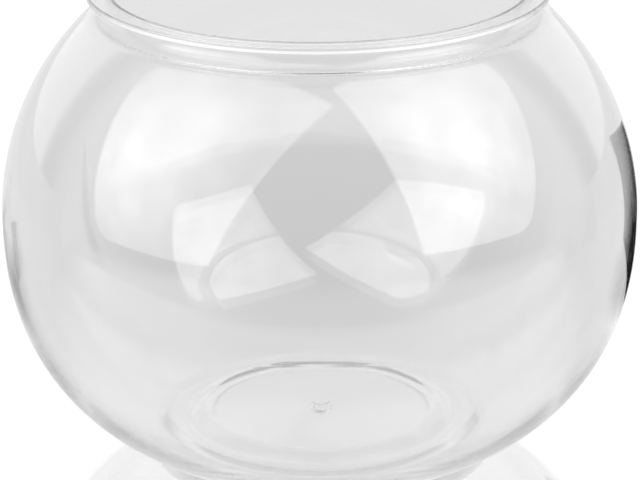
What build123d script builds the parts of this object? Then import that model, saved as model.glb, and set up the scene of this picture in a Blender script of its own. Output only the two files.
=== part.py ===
"""A clear round bowl for a ball of yarn, blow moulded in one piece.

Millimetres, +Z up, origin on the bowl's axis at the level it stands on.
"""
from build123d import *

import math
import os

# Whole bowl
BODY_RADIUS = 76.2          # widest, outside: a 6 inch bowl
HEIGHT = 114.3              # to the top of the lip: 4.5 inches

# Wall: thin where the plastic was blown furthest, thicker towards the neck and the base
BELLY_WALL = 0.85
NECK_WALL = 1.0
BASE_WALL = 2.3
BASE_THICKENING = 1.3       # how late the wall thickens towards the base: 1 is evenly

# Globe: an ellipse above its widest point, and a slightly squarer curve below it
EQUATOR_Z = 59.2
UPPER_RISE = 69.2           # from the widest point to where the upper curve would close
UPPER_SQUARENESS = 2.0      # 2 is a true ellipse
LOWER_DROP = 65.1           # the same, downwards
LOWER_SQUARENESS = 2.33
GLOBE_STEPS = 8             # points on each half of the globe's curve

# Shoulder and neck: the globe flattens at its top and turns up into a short neck
GLOBE_TOP_RADIUS = 55.4     # where the globe stops
SHOULDER_RADIUS = 52.6      # where the shoulder is level
NECK_RADIUS = 49.9          # outside
NECK_HEIGHT = 4.5           # from the shoulder to the lip
NECK_FILLET = 2.4

# Lip: a flat flange round the mouth
LIP_RADIUS = 54.8
LIP_THICKNESS = 1.6
LIP_ROUNDING = 0.25
MOUTH_ROUNDING = 0.8

# Base, outside: a rounded heel, a flat standing ring and a pushed-up middle
HEEL_RADIUS = 42.0          # where the globe stops
RING_OUTER_RADIUS = 35.0
RING_INNER_RADIUS = 32.6
RING_ROUNDING = 4.0
PLATEAU_RADIUS = 27.4
PLATEAU_Z = 3.0             # underside of the pushed-up middle
PLATEAU_ROUNDING = 8.0

# Base, inside: a raised floor in the middle and a level trough above the standing ring
FLOOR_RADIUS = 28.8
FLOOR_Z = 6.0
TROUGH_INNER_RADIUS = 33.4
TROUGH_OUTER_RADIUS = 36.4
TROUGH_Z = 4.0
FLOOR_ROUNDING = 2.5

# Gate nub: left where the plastic was injected, in the middle of the base
GATE_RADIUS = 2.5
GATE_DROP = 1.3             # below the plateau's underside
GATE_RISE = 0.5             # above the floor
GATE_TAPER = 0.7            # how much narrower its two ends are

shoulder_z = HEIGHT - LIP_THICKNESS - NECK_HEIGHT


def wall_at(z):
    """The globe's wall thickness at a height."""
    if z < EQUATOR_Z:
        share = (1 - z / EQUATOR_Z) ** BASE_THICKENING
        return BELLY_WALL + (BASE_WALL - BELLY_WALL) * share
    share = ((z - EQUATOR_Z) / (shoulder_z - EQUATOR_Z)) ** 2
    return BELLY_WALL + (NECK_WALL - BELLY_WALL) * share


def globe_half(edge_radius, reach, squareness, inside):
    """Points of half the globe, from its widest point to where this half stops."""
    last = math.acos(edge_radius / BODY_RADIUS)
    points = []
    for step in range(GLOBE_STEPS + 1):
        share = math.cos(last * step / GLOBE_STEPS)
        height = (1 - share**squareness) ** (1 / squareness)
        inset = wall_at(EQUATOR_Z + reach * height) if inside else 0
        inset_reach = reach - math.copysign(inset, reach)
        points.append(((BODY_RADIUS - inset) * share, EQUATOR_Z + inset_reach * height))
    return points


def trace_globe_and_neck(base, inside):
    """Draw one face of the wall on from the base, over the globe and the shoulder to the mouth."""
    lower_half = globe_half(HEEL_RADIUS, -LOWER_DROP, LOWER_SQUARENESS, inside)
    upper_half = globe_half(GLOBE_TOP_RADIUS, UPPER_RISE, UPPER_SQUARENESS, inside)
    globe = Spline(*lower_half[:0:-1], *upper_half)
    inset = NECK_WALL if inside else 0
    neck = FilletPolyline(
        (SHOULDER_RADIUS, shoulder_z - inset),
        (NECK_RADIUS - inset, shoulder_z - inset),
        (NECK_RADIUS - inset, HEIGHT),
        radius=NECK_FILLET + inset,
    )
    Spline(base @ 1, globe @ 0, tangents=(base % 1, globe % 0))
    Spline(globe @ 1, neck @ 0, tangents=(globe % 1, neck % 0))
    return neck


with BuildPart() as bowl:
    with BuildSketch(Plane.XZ) as section:
        with BuildLine():
            underside = FilletPolyline(
                (0, PLATEAU_Z),
                (PLATEAU_RADIUS, PLATEAU_Z),
                (RING_INNER_RADIUS, 0),
                (RING_OUTER_RADIUS, 0),
                radius=[PLATEAU_ROUNDING, RING_ROUNDING],
            )
            floor = FilletPolyline(
                (0, FLOOR_Z),
                (FLOOR_RADIUS, FLOOR_Z),
                (TROUGH_INNER_RADIUS, TROUGH_Z),
                (TROUGH_OUTER_RADIUS, TROUGH_Z),
                radius=FLOOR_ROUNDING,
            )
            outer_neck = trace_globe_and_neck(underside, inside=False)
            inner_neck = trace_globe_and_neck(floor, inside=True)
            Line(underside @ 0, floor @ 0)
            Line(outer_neck @ 1, inner_neck @ 1)
        make_face()

        # The lip, with its corners and the mouth's edge rounded
        with Locations((NECK_RADIUS - NECK_WALL, HEIGHT)):
            Rectangle(LIP_RADIUS - NECK_RADIUS + NECK_WALL, LIP_THICKNESS, align=(Align.MIN, Align.MAX))
        top_corners, underside_corners = section.vertices().group_by(Axis.Y)[:-3:-1]
        mouth_corner, rim_corner = top_corners.sort_by(Axis.X)
        fillet(underside_corners + [rim_corner], radius=LIP_ROUNDING)
        fillet(section.vertices().sort_by_distance(mouth_corner)[0], radius=MOUTH_ROUNDING)

        # The gate nub
        with BuildLine():
            Polyline(
                (0, PLATEAU_Z - GATE_DROP),
                (GATE_RADIUS - GATE_TAPER, PLATEAU_Z - GATE_DROP),
                (GATE_RADIUS, PLATEAU_Z),
                (GATE_RADIUS, FLOOR_Z),
                (GATE_RADIUS - GATE_TAPER, FLOOR_Z + GATE_RISE),
                (0, FLOOR_Z + GATE_RISE),
                close=True,
            )
        make_face()
    revolve(axis=Axis.Z)
bowl.part.label = "bowl"

os.makedirs("parts", exist_ok=True)
export_step(bowl.part, "parts/bowl.step")
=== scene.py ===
"""The looks of the clear, blow-moulded yarn bowl: its wall, its plastic and a small white studio."""

import math

import bpy
import numpy as np
from mathutils import Matrix, Vector


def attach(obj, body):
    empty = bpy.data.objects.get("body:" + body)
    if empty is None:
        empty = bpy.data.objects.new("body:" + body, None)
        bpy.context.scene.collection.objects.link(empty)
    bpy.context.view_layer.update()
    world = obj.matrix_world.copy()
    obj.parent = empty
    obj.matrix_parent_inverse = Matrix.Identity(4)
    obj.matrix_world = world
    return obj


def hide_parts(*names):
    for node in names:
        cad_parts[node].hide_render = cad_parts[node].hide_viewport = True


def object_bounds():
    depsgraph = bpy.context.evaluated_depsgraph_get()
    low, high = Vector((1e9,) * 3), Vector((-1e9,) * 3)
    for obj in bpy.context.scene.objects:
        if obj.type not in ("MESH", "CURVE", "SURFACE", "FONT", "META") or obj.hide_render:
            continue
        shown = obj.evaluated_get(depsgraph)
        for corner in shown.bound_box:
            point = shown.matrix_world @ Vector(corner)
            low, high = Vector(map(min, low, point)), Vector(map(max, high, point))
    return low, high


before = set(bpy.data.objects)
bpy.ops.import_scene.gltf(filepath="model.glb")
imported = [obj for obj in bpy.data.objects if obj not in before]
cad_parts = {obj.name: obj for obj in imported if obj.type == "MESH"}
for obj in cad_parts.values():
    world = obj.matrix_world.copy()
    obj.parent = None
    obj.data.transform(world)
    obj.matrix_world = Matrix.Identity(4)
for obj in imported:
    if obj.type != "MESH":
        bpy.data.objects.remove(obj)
cad_low, cad_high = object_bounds()

# ---------------------------------------------------------------- sizes, in metres
MM = 0.001
RADIUS = cad_high.x                   # of the globe, outside
HEIGHT = cad_high.z                   # to the top of the lip
SKIN = 0.00003                        # how far the visible outer face stays inside the CAD one

# The rest are the CAD's own
BELLY_WALL = 0.85 * MM
NECK_WALL = 1.0 * MM
BASE_WALL = 2.3 * MM
BASE_THICKENING = 1.3
EQUATOR_Z = 59.2 * MM
UPPER_RISE = 69.2 * MM
UPPER_SQUARENESS = 2.0
LOWER_DROP = 65.1 * MM
LOWER_SQUARENESS = 2.33
GLOBE_TOP_RADIUS = 55.4 * MM
SHOULDER_RADIUS = 52.6 * MM
SHOULDER_Z = HEIGHT - 6.1 * MM
NECK_FILLET = 2.4 * MM
NECK_RADIUS = 49.9 * MM
MOUTH_RADIUS = 48.9 * MM
MOUTH_ROUNDING = 0.8 * MM
LIP_RADIUS = 54.8 * MM
LIP_ROUNDING = 0.25 * MM
LIP_Z = HEIGHT - 1.6 * MM
HEEL_RADIUS = 42.0 * MM
RING_OUTER_RADIUS = 35.0 * MM
RING_INNER_RADIUS = 32.6 * MM
PLATEAU_RADIUS = 27.4 * MM
PLATEAU_Z = 3.0 * MM
PLATEAU_ROUNDING = 8.0 * MM
RING_ROUNDING = 4.0 * MM
FLOOR_RADIUS = 28.8 * MM
FLOOR_Z = 6.0 * MM
FLOOR_ROUNDING = 2.5 * MM
TROUGH_INNER_RADIUS = 33.4 * MM
TROUGH_OUTER_RADIUS = 36.4 * MM
TROUGH_Z = 4.0 * MM
GATE_RADIUS = 2.5 * MM
GATE_DROP = 1.3 * MM
GATE_RISE = 0.5 * MM
GATE_TAPER = 0.7 * MM
GATE_ROUNDING = 0.25 * MM

RIPPLES = 14                          # the inner face waves gently, as blown plastic does
RIPPLE_LENGTH = 22 * MM
RIPPLE_HEIGHT = 0.015 * MM
RIPPLE_SEED = 5

SEGMENTS = 320                        # round the axis
SPACING = 0.8 * MM                    # along the outline
LIP_OVERLAP = 1.0 * MM                # how far the lip's outline comes down the neck on the outside


# ---------------------------------------------------------------- outline of the wall
def rounded(corners, steps=7):
    """A line through (radius, z) corners, each rounded to its own radius."""
    points = []
    last = len(corners) - 1
    for index, (r, z, rounding) in enumerate(corners):
        here = np.array((r, z))
        if index in (0, last) or not rounding:
            points.append(here)
            continue
        back = np.array(corners[index - 1][:2]) - here
        ahead = np.array(corners[index + 1][:2]) - here
        back /= np.linalg.norm(back)
        ahead /= np.linalg.norm(ahead)
        half_angle = math.acos(np.clip(back @ ahead, -1, 1)) / 2
        bisector = (back + ahead) / np.linalg.norm(back + ahead)
        centre = here + bisector * rounding / math.sin(half_angle)
        start = here + back * rounding / math.tan(half_angle) - centre
        turn = math.pi - 2 * half_angle
        if np.cross(back, ahead) > 0:
            turn = -turn
        for step in range(steps + 1):
            angle = turn * step / steps
            spin = np.array(((math.cos(angle), -math.sin(angle)), (math.sin(angle), math.cos(angle))))
            points.append(centre + spin @ start)
    return points


def globe(edge_radius, reach, squareness, steps=48):
    """Half of the globe's outline, from its widest point to the radius where this half stops."""
    last = math.acos(edge_radius / RADIUS)
    shares = [math.cos(last * step / steps) for step in range(steps + 1)]
    return [
        np.array((RADIUS * share, EQUATOR_Z + reach * (1 - share**squareness) ** (1 / squareness)))
        for share in shares
    ]


def blend_curve(start, start_slope, end, end_slope, steps=8):
    """A smooth curve between two points that leaves and arrives along the given directions."""
    length = np.linalg.norm(end - start)
    points = []
    for step in range(1, steps):
        t = step / steps
        points.append(
            (2 * t**3 - 3 * t**2 + 1) * start
            + (t**3 - 2 * t**2 + t) * length * start_slope
            + (3 * t**2 - 2 * t**3) * end
            + (t**3 - t**2) * length * end_slope
        )
    return points


def spaced(points, spacing):
    """The same line with extra points, so that no two neighbours are further apart than the spacing."""
    line = [points[0]]
    for before, after in zip(points, points[1:]):
        count = max(1, math.ceil(np.linalg.norm(after - before) / spacing))
        line += [before + (after - before) * step / count for step in range(1, count + 1)]
    return np.array(line)


def unit(vector):
    return vector / np.linalg.norm(vector)


def outer_face():
    """The wall's outer face, from the axis under the base to the neck below the lip."""
    base = rounded([
        (0, PLATEAU_Z - GATE_DROP, 0),
        (GATE_RADIUS - GATE_TAPER, PLATEAU_Z - GATE_DROP, GATE_ROUNDING),
        (GATE_RADIUS, PLATEAU_Z, GATE_ROUNDING),
        (PLATEAU_RADIUS, PLATEAU_Z, PLATEAU_ROUNDING),
        (RING_INNER_RADIUS, 0, RING_ROUNDING),
        (RING_OUTER_RADIUS, 0, 0),
    ])
    lower = globe(HEEL_RADIUS, -LOWER_DROP, LOWER_SQUARENESS)[::-1]
    upper = globe(GLOBE_TOP_RADIUS, UPPER_RISE, UPPER_SQUARENESS)
    neck = rounded([
        (SHOULDER_RADIUS, SHOULDER_Z, 0),
        (NECK_RADIUS, SHOULDER_Z, NECK_FILLET),
        (NECK_RADIUS, LIP_Z, 0),
    ])
    heel = blend_curve(base[-1], np.array((1.0, 0.0)), lower[0], unit(lower[1] - lower[0]))
    shoulder = blend_curve(upper[-1], unit(upper[-1] - upper[-2]), neck[0], np.array((-1.0, 0.0)))
    return spaced(base + heel + lower + upper[1:] + shoulder + neck, SPACING)


def inward_normals(line):
    """Directions square to the outer face, into the wall."""
    ahead = np.gradient(line, axis=0)
    normals = np.stack((-ahead[:, 1], ahead[:, 0]), axis=1)
    normals /= np.linalg.norm(normals, axis=1, keepdims=True)
    normals[line[:, 0] < PLATEAU_RADIUS] = (0, 1)
    return normals


def wall_thickness(line):
    """Thin where the plastic was blown furthest, thicker towards the neck and the base."""
    z = line[:, 1]
    below = np.clip(1 - z / EQUATOR_Z, 0, 1) ** BASE_THICKENING
    above = np.clip((z - EQUATOR_Z) / (SHOULDER_Z - EQUATOR_Z), 0, 1) ** 2
    return BELLY_WALL + (BASE_WALL - BELLY_WALL) * below + (NECK_WALL - BELLY_WALL) * above


def inner_face(outer):
    """The wall's inner face, from the axis to the mouth. Its floor is a soft copy of the push-up below."""
    inset = outer + inward_normals(outer) * wall_thickness(outer)[:, None]
    inset = inset[np.argmax(outer[:, 0] >= HEEL_RADIUS):]
    inset = inset[inset[:, 1] < LIP_Z - LIP_OVERLAP / 2]
    floor_line = rounded([
        (0, FLOOR_Z + GATE_RISE, 0),
        (GATE_RADIUS - GATE_TAPER, FLOOR_Z + GATE_RISE, GATE_ROUNDING),
        (GATE_RADIUS, FLOOR_Z, GATE_ROUNDING),
        (FLOOR_RADIUS, FLOOR_Z, FLOOR_ROUNDING),
        (TROUGH_INNER_RADIUS, TROUGH_Z, FLOOR_ROUNDING),
        (TROUGH_OUTER_RADIUS, TROUGH_Z, 0),
    ])
    heel = blend_curve(floor_line[-1], np.array((1.0, 0.0)), inset[0], unit(inset[1] - inset[0]))
    return np.concatenate((spaced(floor_line + heel + [inset[0]], SPACING)[:-1], inset))


def wall_outline():
    """The closed section of the wall, from the axis under the base, over the lip and back to the axis."""
    outer = outer_face()
    inner = inner_face(outer)
    outer[:, 0] = np.maximum(outer[:, 0] - SKIN, 0)
    lip = rounded([
        (NECK_RADIUS - SKIN, LIP_Z - LIP_OVERLAP, 0),
        (NECK_RADIUS - SKIN, LIP_Z, LIP_ROUNDING),
        (LIP_RADIUS - SKIN, LIP_Z, LIP_ROUNDING),
        (LIP_RADIUS - SKIN, HEIGHT - SKIN, LIP_ROUNDING),
        (MOUTH_RADIUS, HEIGHT - SKIN, MOUTH_ROUNDING),
        (MOUTH_RADIUS, LIP_Z, 0),
    ])
    outer = outer[outer[:, 1] < LIP_Z - 1.2 * LIP_OVERLAP]
    return np.concatenate((outer, spaced(lip, SPACING), inner[::-1]))


# ---------------------------------------------------------------- the bowl
def ripples(points):
    """Gentle random waves over the bowl, as one height for each point."""
    random = np.random.default_rng(RIPPLE_SEED)
    directions = random.normal(size=(RIPPLES, 3))
    directions /= np.linalg.norm(directions, axis=1, keepdims=True)
    stretch = random.uniform(0.7, 1.5, size=(RIPPLES, 1))
    phases = random.uniform(0, 2 * math.pi, size=RIPPLES)
    waves = np.sin(points @ (directions * stretch).T * 2 * math.pi / RIPPLE_LENGTH + phases)
    return waves.sum(axis=1) / math.sqrt(RIPPLES) * RIPPLE_HEIGHT


def lathe(name, outline, uneven):
    """A closed surface of revolution. The outline starts and ends on the axis.

    The share of the ripples that each of its points takes is in uneven.
    """
    angles = np.arange(SEGMENTS) * 2 * math.pi / SEGMENTS
    body = outline[1:-1]
    rings = np.stack((
        body[:, 0, None] * np.cos(angles),
        body[:, 0, None] * np.sin(angles),
        np.repeat(body[:, 1, None], SEGMENTS, axis=1),
    ), axis=2)
    waves = ripples(rings.reshape(-1, 3)).reshape(rings.shape[:2])
    rings[..., :2] *= 1 + (waves * uneven[1:-1, None] / body[:, 0, None])[..., None]
    points = np.concatenate((rings.reshape(-1, 3), [(0, 0, outline[0, 1]), (0, 0, outline[-1, 1])]))
    faces = []
    for ring in range(len(body) - 1):
        for step in range(SEGMENTS):
            here = ring * SEGMENTS + step
            beside = ring * SEGMENTS + (step + 1) % SEGMENTS
            faces.append((here, beside, beside + SEGMENTS, here + SEGMENTS))
    last_ring = (len(body) - 1) * SEGMENTS
    bottom, top = len(points) - 2, len(points) - 1
    for step in range(SEGMENTS):
        beside = (step + 1) % SEGMENTS
        faces.append((bottom, beside, step))
        faces.append((top, last_ring + step, last_ring + beside))
    mesh = bpy.data.meshes.new(name)
    mesh.from_pydata(points.tolist(), [], faces)
    mesh.shade_smooth()
    piece = bpy.data.objects.new(name, mesh)
    bpy.context.scene.collection.objects.link(piece)
    return piece


# ---------------------------------------------------------------- node trees
class Nodes:
    """Short calls for building a node tree."""

    def __init__(self, tree):
        self.tree = tree
        tree.nodes.clear()

    def add(self, kind, inputs=None, **settings):
        node = self.tree.nodes.new(kind)
        for name, value in settings.items():
            setattr(node, name, value)
        for name, value in (inputs or {}).items():
            if isinstance(value, bpy.types.NodeSocket):
                self.tree.links.new(value, node.inputs[name])
            else:
                node.inputs[name].default_value = value
        return node

    def math(self, operation, first, second=0.0):
        node = self.add("ShaderNodeMath", {0: first, 1: second}, operation=operation)
        return node.outputs[0]

    def ramp(self, value, low, high, out_low=0.0, out_high=1.0):
        """The value carried smoothly from low..high to out_low..out_high, and held beyond."""
        inputs = {"Value": value, "From Min": low, "From Max": high, "To Min": out_low, "To Max": out_high}
        node = self.add("ShaderNodeMapRange", inputs, interpolation_type="SMOOTHSTEP")
        return node.outputs[0]

    def mix(self, share, first, second):
        """A number between first and second."""
        node = self.add("ShaderNodeMix", {"Factor": share, "A": first, "B": second}, data_type="FLOAT")
        return node.outputs[0]


# ---------------------------------------------------------------- plastic
REFRACTION = 1.57
TINT = (0.965, 0.965, 0.965, 1.0)
DEPTH_TINT = (0.5, 0.5, 0.5, 1.0)     # a little light is lost inside the wall
DEPTH_DENSITY = 5.0
CLEAREST = 0.025                      # roughness of the blown wall, where it is clearest
HAZIEST = 0.04                        # and where it is haziest
BASE_ROUGHNESS = 0.09                 # the base, neck and lip are hardly stretched, so they are duller
NECK_ROUGHNESS = 0.14
GRAIN_HEIGHT = 0.02 * MM
GRAIN_STRENGTH = 0.03


def clear_plastic():
    """Glossy where it was blown, duller in the base, neck and lip, with a faint haze and grain."""
    material = bpy.data.materials.new("clear_plastic")
    material.use_nodes = True
    nodes = Nodes(material.node_tree)
    place = nodes.add("ShaderNodeTexCoord").outputs["Object"]
    height = nodes.add("ShaderNodeSeparateXYZ", {0: place}).outputs["Z"]
    haze = nodes.add("ShaderNodeTexNoise", {"Vector": place, "Scale": 35.0, "Detail": 3.0}).outputs[0]
    blown = nodes.ramp(haze, 0.35, 0.65, CLEAREST, HAZIEST)
    roughness = nodes.ramp(height, SHOULDER_Z - 3 * MM, SHOULDER_Z, blown, NECK_ROUGHNESS)
    roughness = nodes.ramp(height, TROUGH_Z, FLOOR_Z + 4 * MM, BASE_ROUGHNESS, roughness)
    grain = nodes.add("ShaderNodeTexNoise", {"Vector": place, "Scale": 150.0, "Detail": 1.0}).outputs[0]
    bump = nodes.add("ShaderNodeBump", {
        "Height": grain, "Strength": GRAIN_STRENGTH, "Distance": GRAIN_HEIGHT,
    })
    shader = nodes.add("ShaderNodeBsdfPrincipled", {
        "Base Color": TINT,
        "IOR": REFRACTION,
        "Roughness": roughness,
        "Transmission Weight": 1.0,
        "Normal": bump.outputs[0],
    })
    inside = nodes.add("ShaderNodeVolumeAbsorption", {"Color": DEPTH_TINT, "Density": DEPTH_DENSITY})
    nodes.add("ShaderNodeOutputMaterial", {"Surface": shader.outputs[0], "Volume": inside.outputs[0]})
    return material


# ---------------------------------------------------------------- studio
# Light is a strength of 1 for plain white
SEEN = 1.12                # the floor and the background, looked at directly
NEAR_THROUGH = 0.72        # the floor close to the bowl, seen through it
FAR_THROUGH = 0.81         # the far floor and the background, seen through it
OVERHEAD = 0.02            # above the background, seen through the bowl's rim

# What the bowl mirrors is another, darker room: it has a white background and white paper on the floor
ROOM = 0.10                # the room in front of the bowl
SIDE = 0.80                # its sides
GAP = 0.42                 # between its sides and the background
CEILING = 0.35
BACKGROUND = 1.1
BACKGROUND_INSIDE = 0.9    # the background, mirrored by the inside of the bowl
PAPER_LIGHT = 1.45         # the paper in front of the bowl, a painted pool of light
PAPER_UNDER = 0.95         # under the bowl, where less light gets
PAPER_BACK = 0.85          # behind the bowl, painted dimmer light
BEYOND_MIDDLE = 0.6        # the floor in front of the paper
BEYOND_SIDES = 1.3         # the floor on either side of it
PAPER_SIDE = 4.75 * RADIUS     # how far the paper reaches to either side
PAPER_FRONT = 2.58 * RADIUS    # how far it reaches forward, in a curve

FLOOR_HALF_SIDE = 8.0      # metres
FLOOR_DROP = 0.2 * MM      # below the bowl, so that the two don't touch
FLOOR_GLOSS = 0.75         # how much of the floor's light is a mirror image, close to the bowl

NEAR_WALL_REACH = 4.4 * RADIUS   # the softboxes are nearer than this to the wall that mirrors them
FAR_WALL_REACH = 2.9 * RADIUS    # and further than this from the far wall
OUTER_FACE_LOSS = 0.5            # how much fainter the far wall's outer face shows them than its inner one
SOFTBOX_ROUNDING = 0.12          # as a share of its sides


def light_path(nodes, count, least):
    """1 where something that Blender counts along a ray is over the least, or 0."""
    return nodes.math("GREATER_THAN", nodes.add("ShaderNodeLightPath").outputs[count], least)


def mirrored(nodes):
    """1 for light that some surface has mirrored on its way to the camera, or 0."""
    return light_path(nodes, "Glossy Depth", 0.5)


def by_floor(nodes):
    """1 for light that goes straight to the floor's mirror, or 0: only that mirror is perfectly sharp."""
    return light_path(nodes, "Is Singular Ray", 0.5)


def by_far_wall(nodes):
    """1 for light that has crossed more faces than the near wall's two, or 0: the far wall mirrored it."""
    return light_path(nodes, "Transmission Depth", 2.5)


def around(nodes, forward):
    """The light of the room that the bowl mirrors, dark in front of it and pale at its sides.

    The forward part of a direction is 1 straight towards the background.
    """
    return nodes.ramp(forward, -0.7, 0.2, ROOM, SIDE)


def studio_world():
    """The room and its background, in every direction that has nothing nearer."""
    world = bpy.data.worlds.new("studio")
    bpy.context.scene.world = world
    world.use_nodes = True
    nodes = Nodes(world.node_tree)
    direction = nodes.add("ShaderNodeTexCoord").outputs["Generated"]
    axes = nodes.add("ShaderNodeSeparateXYZ", {0: direction}).outputs
    room = nodes.ramp(axes["Y"], 0.25, 0.45, around(nodes, axes["Y"]), GAP)
    background = nodes.mix(by_far_wall(nodes), BACKGROUND, BACKGROUND_INSIDE)
    room = nodes.ramp(axes["Y"], 0.50, 0.60, room, background)
    room = nodes.ramp(axes["Z"], 0.75, 0.95, room, CEILING)
    straight = nodes.ramp(axes["Z"], 0.05, 0.30, FAR_THROUGH, OVERHEAD)
    light = nodes.mix(mirrored(nodes), straight, room)
    light = nodes.mix(light_path(nodes, "Diffuse Depth", 0.5), light, SEEN)
    light = nodes.mix(light_path(nodes, "Is Camera Ray", 0.5), light, SEEN)
    light = nodes.mix(by_floor(nodes), light, SEEN)
    surface = nodes.add("ShaderNodeBackground", {"Color": (1, 1, 1, 1), "Strength": light})
    nodes.add("ShaderNodeOutputWorld", {"Surface": surface.outputs[0]})
    world.cycles.sampling_method = "NONE"


def panel(name, corners, material, steps=8):
    """A piece of the studio between four corners, in radii of the bowl, which needn't lie in one plane."""
    low_left, low_right, high_right, high_left = (Vector(corner) * RADIUS for corner in corners)
    points = []
    places = []
    for row in range(steps + 1):
        for column in range(steps + 1):
            u, v = column / steps, row / steps
            points.append(low_left.lerp(low_right, u).lerp(high_left.lerp(high_right, u), v))
            places.append((u, v))
    faces = []
    for row in range(steps):
        for column in range(steps):
            first = row * (steps + 1) + column
            faces.append((first, first + 1, first + steps + 2, first + steps + 1))
    mesh = bpy.data.meshes.new(name)
    mesh.from_pydata([tuple(point) for point in points], [], faces)
    mesh.shade_smooth()
    mesh.materials.append(material)
    layer = mesh.uv_layers.new(name="UVMap")
    for loop in mesh.loops:
        layer.data[loop.index].uv = places[loop.vertex_index]
    piece = bpy.data.objects.new(name, mesh)
    bpy.context.scene.collection.objects.link(piece)


def rectangle(centre, across, upward):
    """The corners of a rectangle, from its centre and its two half sides."""
    centre, across, upward = Vector(centre), Vector(across), Vector(upward)
    return (
        centre - across - upward,
        centre + across - upward,
        centre + across + upward,
        centre - across + upward,
    )


def floor():
    """White paper that mirrors the bowl nearby. Its glow is painted light: in the bowl's mirror images it
    shows painted shade under and behind the bowl and a painted pool of light in front of it. Past its
    curved front edge the bowl mirrors a dark room, painted into the same glow.
    """
    material = bpy.data.materials.new("floor")
    material.use_nodes = True
    nodes = Nodes(material.node_tree)
    place = nodes.add("ShaderNodeNewGeometry").outputs["Position"]
    axes = nodes.add("ShaderNodeSeparateXYZ", {0: place}).outputs
    ahead = nodes.math("DIVIDE", nodes.math("MINIMUM", axes["Y"], 0.0), PAPER_FRONT)
    across = nodes.math("DIVIDE", axes["X"], PAPER_SIDE)
    outwards = nodes.math("ADD", nodes.math("POWER", ahead, 2), nodes.math("POWER", across, 2))
    from_axis = nodes.add("ShaderNodeVectorMath", {0: place}, operation="LENGTH").outputs["Value"]
    # Painted shade under the bowl, a painted pool of light in front of it and painted dimmer light behind
    # it, seen only in mirror images
    paper = nodes.ramp(from_axis, 0.65 * RADIUS, 1.1 * RADIUS, PAPER_UNDER, PAPER_LIGHT)
    paper = nodes.ramp(axes["Y"], -0.9 * RADIUS, 0.1 * RADIUS, paper, PAPER_BACK)
    # Past the paper, the painted light of the darker room that the bowl mirrors
    sideways = nodes.math("ABSOLUTE", axes["X"])
    beyond = nodes.ramp(sideways, 0, 4 * RADIUS, BEYOND_MIDDLE, BEYOND_SIDES)
    forward = nodes.math("DIVIDE", axes["Y"], from_axis)
    beyond = nodes.ramp(from_axis, 2 * RADIUS, 9 * RADIUS, beyond, around(nodes, forward))
    beyond = nodes.mix(by_far_wall(nodes), beyond, ROOM)
    beyond = nodes.ramp(axes["Y"], -2 * RADIUS, 0.5 * RADIUS, beyond, SIDE)
    room = nodes.ramp(outwards, 0.85, 1.15, paper, beyond)
    straight = nodes.ramp(axes["Y"], 0, 5 * RADIUS, NEAR_THROUGH, FAR_THROUGH)
    light = nodes.mix(mirrored(nodes), straight, room)
    light = nodes.mix(light_path(nodes, "Diffuse Depth", 0.5), light, SEEN)
    seen = light_path(nodes, "Is Camera Ray", 0.5)
    light = nodes.mix(seen, light, SEEN)
    glow = nodes.add("ShaderNodeEmission", {"Strength": light})
    mirror = nodes.add("ShaderNodeBsdfGlossy", {"Color": (1, 1, 1, 1), "Roughness": 0.0})
    share = nodes.math("MULTIPLY", seen, nodes.ramp(from_axis, RADIUS, 2.2 * RADIUS, FLOOR_GLOSS, 0.0))
    surface = nodes.add("ShaderNodeMixShader", {0: share, 1: glow.outputs[0], 2: mirror.outputs[0]})
    nodes.add("ShaderNodeOutputMaterial", {"Surface": surface.outputs[0]})
    half_side = FLOOR_HALF_SIDE / RADIUS
    panel("floor", rectangle((0, 0, -FLOOR_DROP / RADIUS), (half_side, 0, 0), (0, half_side, 0)), material)


def glow_for_mirrors(name, light_of, extent_of):
    """A material that shows only in the bowl's mirror images.

    Two functions give its light, and its extent as 1 inside and 0 outside.
    """
    material = bpy.data.materials.new(name)
    material.use_nodes = True
    nodes = Nodes(material.node_tree)
    clear = nodes.add("ShaderNodeBsdfTransparent")
    glow = nodes.add("ShaderNodeEmission", {"Strength": light_of(nodes)})
    by_bowl = nodes.math("SUBTRACT", mirrored(nodes), by_floor(nodes))
    shown = nodes.math("MULTIPLY", by_bowl, extent_of(nodes))
    surface = nodes.add("ShaderNodeMixShader", {0: shown, 1: clear.outputs[0], 2: glow.outputs[0]})
    nodes.add("ShaderNodeOutputMaterial", {"Surface": surface.outputs[0]})
    material.cycles.emission_sampling = "NONE"
    return material


def card(name, light):
    """Evenly lit card, or black cloth where the light is 0."""
    return glow_for_mirrors(name, lambda nodes: light, lambda nodes: 1.0)


def cloth_light(nodes, hot, spread, brightest, dimmest):
    """Lit cloth with soft folds, brightest round the lamp behind it."""
    place = nodes.add("ShaderNodeUVMap", uv_map="UVMap").outputs[0]
    patch = nodes.add("ShaderNodeMapping", {
        "Vector": place, "Location": hot, "Scale": spread,
    }, vector_type="TEXTURE").outputs[0]
    distance = nodes.add("ShaderNodeVectorMath", {0: patch}, operation="LENGTH").outputs["Value"]
    light = nodes.ramp(distance, 0.2, 1.0, brightest, dimmest)
    lamp = nodes.ramp(distance, 0.0, 0.3, 1.2, 1.0)
    cloth = nodes.add("ShaderNodeTexNoise", {"Vector": place, "Scale": 6.0, "Detail": 4.0})
    folds = nodes.ramp(cloth.outputs[0], 0.3, 0.7, 0.88, 1.1)
    return nodes.math("MULTIPLY", light, nodes.math("MULTIPLY", lamp, folds))


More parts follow.
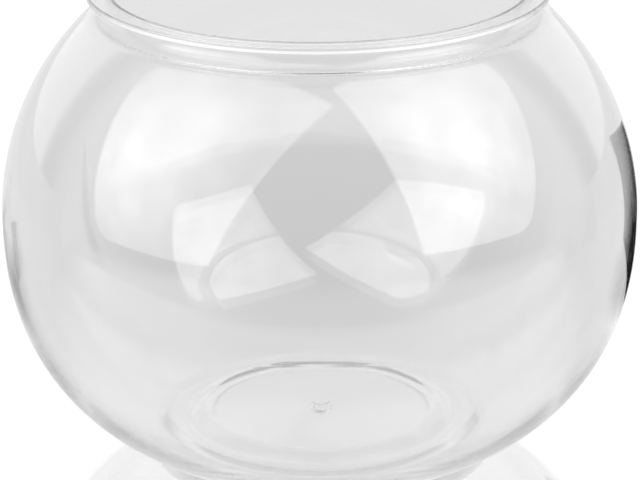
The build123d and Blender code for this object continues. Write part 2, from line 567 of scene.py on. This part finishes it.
def outer_corners_rounded(nodes, outer_side):
    """1 inside a softbox, or 0 in its outer corners."""
    place = nodes.add("ShaderNodeUVMap", uv_map="UVMap").outputs[0]
    axes = nodes.add("ShaderNodeSeparateXYZ", {0: place}).outputs
    sideways = nodes.math("MULTIPLY", nodes.math("SUBTRACT", axes["X"], 0.5), outer_side)
    upward = nodes.math("ABSOLUTE", nodes.math("SUBTRACT", axes["Y"], 0.5))
    past = 0.0
    for offset in (sideways, upward):
        over = nodes.math("MAXIMUM", nodes.math("SUBTRACT", offset, 0.5 - SOFTBOX_ROUNDING), 0.0)
        past = nodes.math("ADD", nodes.math("POWER", over, 2), past)
    return nodes.math("LESS_THAN", past, SOFTBOX_ROUNDING**2)


def in_near_wall(nodes):
    """1 for light that the wall near the camera has mirrored, or 0."""
    far = nodes.math("MAXIMUM", by_far_wall(nodes), light_path(nodes, "Ray Length", NEAR_WALL_REACH))
    return nodes.math("SUBTRACT", 1.0, far)


def in_far_wall(nodes):
    """1 for light that the far wall's inner face has mirrored, less for its outer face, or 0.

    It came in through the near wall again, or the long way through the mouth.
    """
    crossed = by_far_wall(nodes)
    deeper = light_path(nodes, "Transmission Depth", 4.5)
    by_wall = nodes.math("SUBTRACT", crossed, nodes.math("MULTIPLY", deeper, OUTER_FACE_LOSS))
    by_mouth = nodes.math("SUBTRACT", 1.0, nodes.math("MULTIPLY", crossed, OUTER_FACE_LOSS))
    return nodes.mix(light_path(nodes, "Ray Length", FAR_WALL_REACH), by_wall, by_mouth)


def softbox(name, corners, hot, spread, brightest, dimmest, outer_side, in_wall):
    """A softbox that shows only in one wall of the bowl."""
    material = glow_for_mirrors(
        name,
        lambda nodes: cloth_light(nodes, hot, spread, brightest, dimmest),
        lambda nodes: nodes.math("MULTIPLY", outer_corners_rounded(nodes, outer_side), in_wall(nodes)),
    )
    panel(name, corners, material)


# The camera
EYE = (0, -10.2196, 4.2473)    # in radii of the bowl
AIM = (0, 0, 0.6607)
ROLL = -0.0062                 # radians
LENS = 192.2                   # mm


def camera():
    """The viewing angle of the photograph: a long lens, a little above the bowl."""
    data = bpy.data.cameras.new("camera")
    data.lens = LENS
    data.sensor_width = 36.0
    data.clip_end = 50.0
    eye = Vector(EYE) * RADIUS
    aim = Vector(AIM) * RADIUS
    piece = bpy.data.objects.new("camera", data)
    piece.rotation_euler = (
        (aim - eye).to_track_quat("-Z", "Y").to_matrix() @ Matrix.Rotation(ROLL, 3, "Z")
    ).to_euler()
    piece.location = eye
    bpy.context.scene.collection.objects.link(piece)
    bpy.context.scene.camera = piece


# ---------------------------------------------------------------- making
BOUNCES = 80      # light runs a long way inside the thin wall at the bowl's edges

camera()
scene = bpy.context.scene
scene.view_settings.view_transform = "Standard"
scene.cycles.max_bounces = BOUNCES
scene.cycles.transmission_bounces = BOUNCES
scene.cycles.glossy_bounces = BOUNCES

studio_world()
floor()

# The corners of a softbox go low left, low right, high right, high left
softbox(
    "softbox_left",
    ((-4.13, -1.07, 0.76), (-2.52, -3.65, 0.75), (0.32, -2.17, 4.55), (-2.90, 0.41, 3.76)),
    hot=(0.32, 0.5, 0), spread=(0.62, 0.6, 1), brightest=2.9, dimmest=1.4,
    outer_side=-1, in_wall=in_near_wall,
)
softbox(
    "softbox_right",
    ((2.36, -3.76, 1.07), (4.05, -1.45, 0.96), (2.95, 0.55, 3.67), (0.27, -1.73, 4.74)),
    hot=(0.48, 0.52, 0), spread=(0.6, 0.6, 1), brightest=3.0, dimmest=1.7,
    outer_side=1, in_wall=in_near_wall,
)
softbox(
    "softbox_left_inside",
    ((-2.66, -0.55, 0.69), (-1.45, -2.10, 0.93), (0.26, -1.58, 2.79), (-1.15, 0.25, 3.33)),
    hot=(0.4, 0.5, 0), spread=(0.8, 0.8, 1), brightest=3.5, dimmest=2.6,
    outer_side=-1, in_wall=in_far_wall,
)
softbox(
    "softbox_right_inside",
    ((1.32, -2.15, 1.08), (2.48, -0.97, 1.16), (1.64, 0.58, 3.02), (0.04, -0.89, 3.29)),
    hot=(0.6, 0.5, 0), spread=(0.8, 0.8, 1), brightest=3.5, dimmest=2.6,
    outer_side=1, in_wall=in_far_wall,
)
panel("flag_right", rectangle((1.66, 1.0, 0.5), (0.4, 0, 0.1), (0, 0, 0.42)), card("black_cloth", 0.0))
panel("flag_left", rectangle((-1.92, 0.95, 0.17), (0.13, 0, 0), (0, 0, 0.2)), card("grey_cloth", 0.45))
panel("card_right", rectangle((4.0, 0.3, 0.45), (0, 0.62, 0), (0, 0, 0.5)), card("white_card", 0.7))

# Only the inner face ripples, and most at mid-height
section = wall_outline()
is_inner = np.arange(len(section)) > np.argmax(section[:, 1])
blown_share = np.sin(np.clip(section[:, 1] / SHOULDER_Z, 0, 1) * math.pi)
bowl = lathe("bowl_clear", section, uneven=is_inner * blown_share)
bowl.data.materials.append(clear_plastic())
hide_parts("bowl")
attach(bowl, "root")
